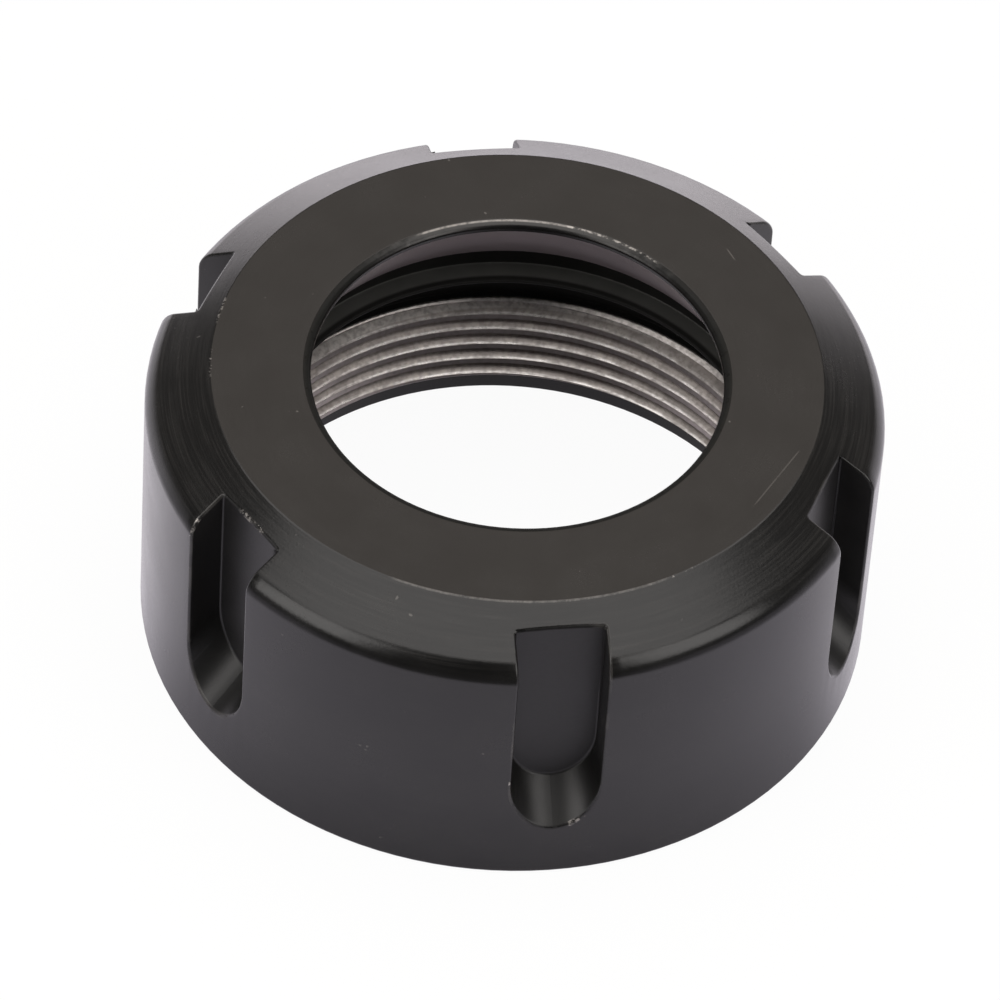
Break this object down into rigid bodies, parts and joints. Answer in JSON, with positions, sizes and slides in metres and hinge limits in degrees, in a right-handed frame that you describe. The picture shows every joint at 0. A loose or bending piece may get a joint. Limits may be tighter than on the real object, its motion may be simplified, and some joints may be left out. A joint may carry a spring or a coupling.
{
  "type": "collet nut",
  "caption": "Round clamping nut for a spring collet: conical seat inside the front opening, extraction lip, fine rear thread and hook-spanner slots round the outside.",
  "frame": {"origin": "centre of the rear face, which the nut stands on", "axes": "+Z along the nut's axis from the rear face to the front face; -Y through the middle of one spanner slot"},
  "size_m": [0.05, 0.05, 0.0225],
  "materials": {
    "blackened_steel": "satin black oxide on turned steel, with the thread left bright"
  },
  "bodies": {
    "root": {"nut_body": "blackened_steel"}
  },
  "joints": []
}
